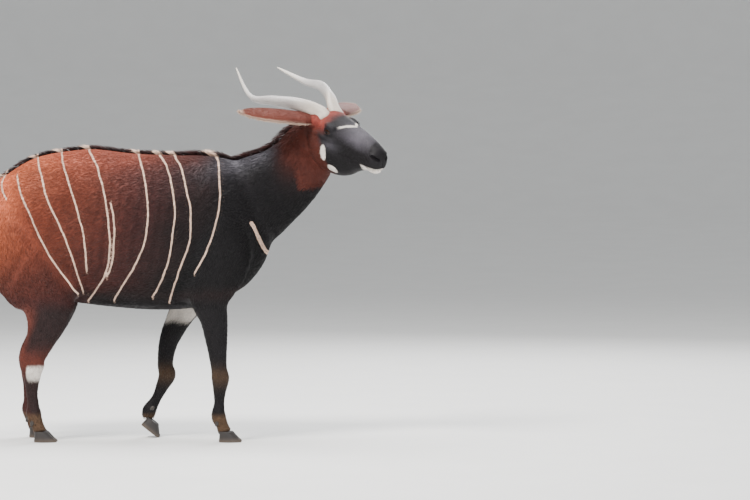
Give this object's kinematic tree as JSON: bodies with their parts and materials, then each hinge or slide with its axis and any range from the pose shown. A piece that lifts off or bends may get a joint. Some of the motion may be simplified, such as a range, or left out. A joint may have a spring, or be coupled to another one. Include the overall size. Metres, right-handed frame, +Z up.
{
  "type": "bongo antelope",
  "caption": "Life-size antelope bull, walking, head turned to its right, with lyre horns, cupped ears, a spinal crest and a tufted tail.",
  "frame": {"origin": "on the floor, below the middle of the whole animal's box", "axes": "+X the way the animal walks, +Y its left side, +Z up"},
  "size_m": [1.901, 0.6542, 1.6455],
  "materials": {
    "coat_body": "short glossy chestnut coat with thin cream stripes",
    "coat_neck": "short blackish brown coat, longer along the nape",
    "coat_head": "very short dark coat with white marks",
    "coat_leg": "short dark coat with pale marks",
    "horn": "smooth weathered horn, paler at the tip",
    "eye": "wet dark brown",
    "hoof": "dark worn horn"
  },
  "bodies": {
    "root": {"torso": "coat_body", "neck": "coat_neck", "head": "coat_head", "tail": "coat_body", "ear_right": "coat_head", "ear_left": "coat_head", "horn_right": "horn", "horn_left": "horn", "eye_right": "eye", "eye_left": "eye", "shoulder_right": "coat_leg", "forearm_right": "coat_leg", "fore_shank_right": "coat_leg", "thigh_right": "coat_body", "gaskin_right": "coat_body", "hind_shank_right": "coat_body", "shoulder_left": "coat_leg", "forearm_left": "coat_leg", "fore_shank_left": "coat_leg", "thigh_left": "coat_body", "gaskin_left": "coat_body", "hind_shank_left": "coat_body", "claw_fore_right_a": "hoof", "claw_fore_right_b": "hoof", "claw_fore_left_a": "hoof", "claw_fore_left_b": "hoof", "claw_hind_right_a": "hoof", "claw_hind_right_b": "hoof", "claw_hind_left_a": "hoof", "claw_hind_left_b": "hoof"}
  },
  "joints": []
}
